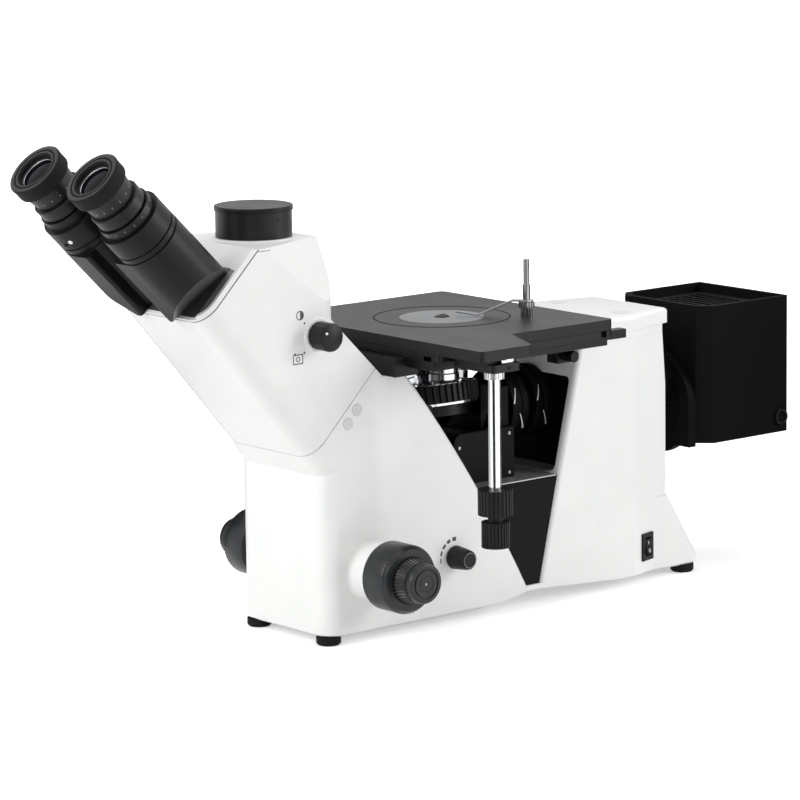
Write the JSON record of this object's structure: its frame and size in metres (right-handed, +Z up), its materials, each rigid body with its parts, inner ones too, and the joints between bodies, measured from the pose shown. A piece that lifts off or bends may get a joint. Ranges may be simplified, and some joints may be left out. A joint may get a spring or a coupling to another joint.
{
  "type": "inverted microscope",
  "caption": "Inverted reflected-light trinocular microscope: white stand with inclined binocular head, stage over a turret of objectives, focus and stage knobs, lamp house behind.",
  "frame": {"origin": "bottom centre of the bounding box, on the bench", "axes": "+X to the operator's right, +Y from the operator to the lamp house, +Z up"},
  "size_m": [0.255, 0.658, 0.3662],
  "materials": {
    "enamel_white": "satin white enamel on cast aluminium",
    "enamel_black": "satin black paint on cast aluminium",
    "plastic_black": "moulded, lightly textured",
    "plastic_grey": "moulded plugs",
    "plastic_white": "satin moulded white",
    "rubber_black": "matt rubber",
    "anodised_grey": "dark grey hard anodised, matt",
    "anodised_black": "black anodised, satin",
    "disc_grey": "grey anodised, matt",
    "chrome": "bright plated",
    "steel": "ground",
    "glass": "coated optical glass"
  },
  "bodies": {
    "frame": {"stand_casting": "enamel_white", "base_covers": "enamel_black", "feet": "rubber_black", "lower_housing": "enamel_black", "pillar_cap": "enamel_white", "cover_plugs": "plastic_grey", "cavity_panel": "enamel_black", "head_housing": "enamel_white", "front_bezel": "plastic_white", "tube_base": "enamel_black", "port_collar": "anodised_black", "port_lid": "plastic_black", "knob_collars": "enamel_white", "switch_bezel": "plastic_black", "power_inlet": "plastic_black", "focus_guide": "steel", "stage_base": "anodised_black", "stage_rails": "anodised_black", "illuminator_block": "enamel_black", "illuminator_tube": "anodised_black", "lamp_mount": "enamel_black", "lamp_shell": "enamel_black", "lamp_grille": "enamel_black", "halogen_lamp": "steel", "collector_lens": "glass", "lamp_screw": "steel"},
    "nosepiece": {"nose_carriage": "anodised_black"},
    "turret": {"turret_plate": "chrome", "turret_ring": "anodised_black", "objectives": "chrome"},
    "coarse_drive": {"coarse_knob_right": "plastic_black", "coarse_knob_left": "plastic_black", "coarse_shaft": "steel"},
    "fine_drive": {"fine_knob_right": "plastic_black", "fine_knob_left": "plastic_black", "fine_shaft": "steel"},
    "stage_y": {"stage_lower": "anodised_black", "control_bracket": "anodised_black"},
    "stage_x": {"stage_upper": "anodised_grey", "stage_insert": "anodised_grey", "specimen_disc": "disc_grey", "clip_post": "chrome"},
    "clip_slider": {"clip_collar": "chrome"},
    "clip_spring": {"clip_arm": "chrome"},
    "y_control": {"control_tube": "chrome", "y_knob": "plastic_black"},
    "x_control": {"x_knob": "plastic_black"},
    "tube_right": {"housing_right": "enamel_black"},
    "tube_left": {"housing_left": "enamel_black"},
    "dioptre": {"diopter_ring": "anodised_black"},
    "ocular_right": {"eyepiece_right": "anodised_black", "eye_lens_right": "glass"},
    "ocular_left": {"eyepiece_left": "anodised_black", "eye_lens_left": "glass"},
    "beam_selector": {"beam_knob": "plastic_black"},
    "brightness": {"brightness_knob": "plastic_black"},
    "power_switch": {"rocker": "plastic_black"},
    "aperture": {"aperture_ring": "anodised_black"},
    "field": {"field_ring": "anodised_black"},
    "stage_clamp": {"clamp_screw": "anodised_black"}
  },
  "joints": [
    {"name": "nosepiece_lift", "type": "slide", "parent": "frame", "child": "nosepiece", "axis": [0, 0, 1], "range_m": [-0.006, 0.005]},
    {"name": "coarse_focus", "type": "hinge", "parent": "frame", "child": "coarse_drive", "pos_m": [-0.01555, -0.09213, 0.0508], "axis": [1, 0, 0], "range_deg": [-58, 48]},
    {"name": "fine_focus", "type": "hinge", "parent": "frame", "child": "fine_drive", "pos_m": [-0.01555, -0.09213, 0.0508], "axis": [1, 0, 0], "continuous": true},
    {"name": "turret_turn", "type": "hinge", "parent": "nosepiece", "child": "turret", "pos_m": [-0.03722, 0.01897, 0.16418], "axis": [-0.1736, 0, 0.9848], "continuous": true},
    {"name": "stage_y_slide", "type": "slide", "parent": "frame", "child": "stage_y", "axis": [0, 1, 0], "range_m": [-0.015, 0.015]},
    {"name": "stage_x_slide", "type": "slide", "parent": "stage_y", "child": "stage_x", "axis": [1, 0, 0], "range_m": [-0.015, 0.015]},
    {"name": "y_knob_turn", "type": "hinge", "parent": "stage_y", "child": "y_control", "pos_m": [0.10945, -0.03803, 0.0954], "axis": [0, 0, 1], "range_deg": [-175, 175]},
    {"name": "x_knob_turn", "type": "hinge", "parent": "stage_y", "child": "x_control", "pos_m": [0.10945, -0.03803, 0.0954], "axis": [0, 0, 1], "range_deg": [-175, 175]},
    {"name": "clip_lift", "type": "slide", "parent": "stage_x", "child": "clip_slider", "axis": [0, 0, 1], "range_m": [0, 0.012]},
    {"name": "clip_swing", "type": "hinge", "parent": "clip_slider", "child": "clip_spring", "pos_m": [0.02945, 0.06297, 0.2176], "axis": [0, 0, 1], "range_deg": [-60, 60]},
    {"name": "interpupillary_right", "type": "hinge", "parent": "frame", "child": "tube_right", "pos_m": [-0.01555, -0.21307, 0.27305], "axis": [0, -0.7071, 0.7071], "range_deg": [-18.6, 25.3]},
    {"name": "interpupillary_left", "type": "hinge", "parent": "frame", "child": "tube_left", "pos_m": [-0.01555, -0.21307, 0.27305], "axis": [0, -0.7071, 0.7071], "range_deg": [-25.4, 18.7]},
    {"name": "dioptre_turn", "type": "hinge", "parent": "tube_right", "child": "dioptre", "pos_m": [0.01835, -0.28576, 0.32297], "axis": [0, -0.7071, 0.7071], "range_deg": [-60, 60]},
    {"name": "ocular_right_turn", "type": "hinge", "parent": "tube_right", "child": "ocular_right", "pos_m": [0.01835, -0.28576, 0.32297], "axis": [0, -0.7071, 0.7071], "range_deg": [-90, 90]},
    {"name": "ocular_left_turn", "type": "hinge", "parent": "tube_left", "child": "ocular_left", "pos_m": [-0.04945, -0.28576, 0.32297], "axis": [0, -0.7071, 0.7071], "range_deg": [-90, 90]},
    {"name": "beam_select", "type": "hinge", "parent": "frame", "child": "beam_selector", "pos_m": [0.03645, -0.13853, 0.2275], "axis": [1, 0, 0], "range_deg": [0, 90]},
    {"name": "brightness_turn", "type": "hinge", "parent": "frame", "child": "brightness", "pos_m": [0.03645, -0.01463, 0.0494], "axis": [1, 0, 0], "range_deg": [0, 270]},
    {"name": "power_rocker", "type": "hinge", "parent": "frame", "child": "power_switch", "pos_m": [0.03176, 0.18047, 0.028], "axis": [-0.2659, 0.964, 0], "range_deg": [0, 16]},
    {"name": "aperture_turn", "type": "hinge", "parent": "frame", "child": "aperture", "pos_m": [-0.01555, 0.06497, 0.146], "axis": [0, 1, 0], "range_deg": [-35, 35]},
    {"name": "field_turn", "type": "hinge", "parent": "frame", "child": "field", "pos_m": [-0.01555, 0.08797, 0.146], "axis": [0, 1, 0], "range_deg": [-35, 35]},
    {"name": "stage_clamp_turn", "type": "hinge", "parent": "frame", "child": "stage_clamp", "pos_m": [0.04245, 0.08797, 0.1878], "axis": [1, 0, 0], "range_deg": [-90, 90]}
  ],
  "couplings": [
    {"joint": "coarse_focus", "follows": "nosepiece_lift", "rad_per_m": 166.66},
    {"joint": "y_knob_turn", "follows": "stage_y_slide", "rad_per_m": 200},
    {"joint": "x_knob_turn", "follows": "stage_x_slide", "rad_per_m": 200},
    {"joint": "interpupillary_left", "follows": "interpupillary_right", "ratio": -1}
  ]
}
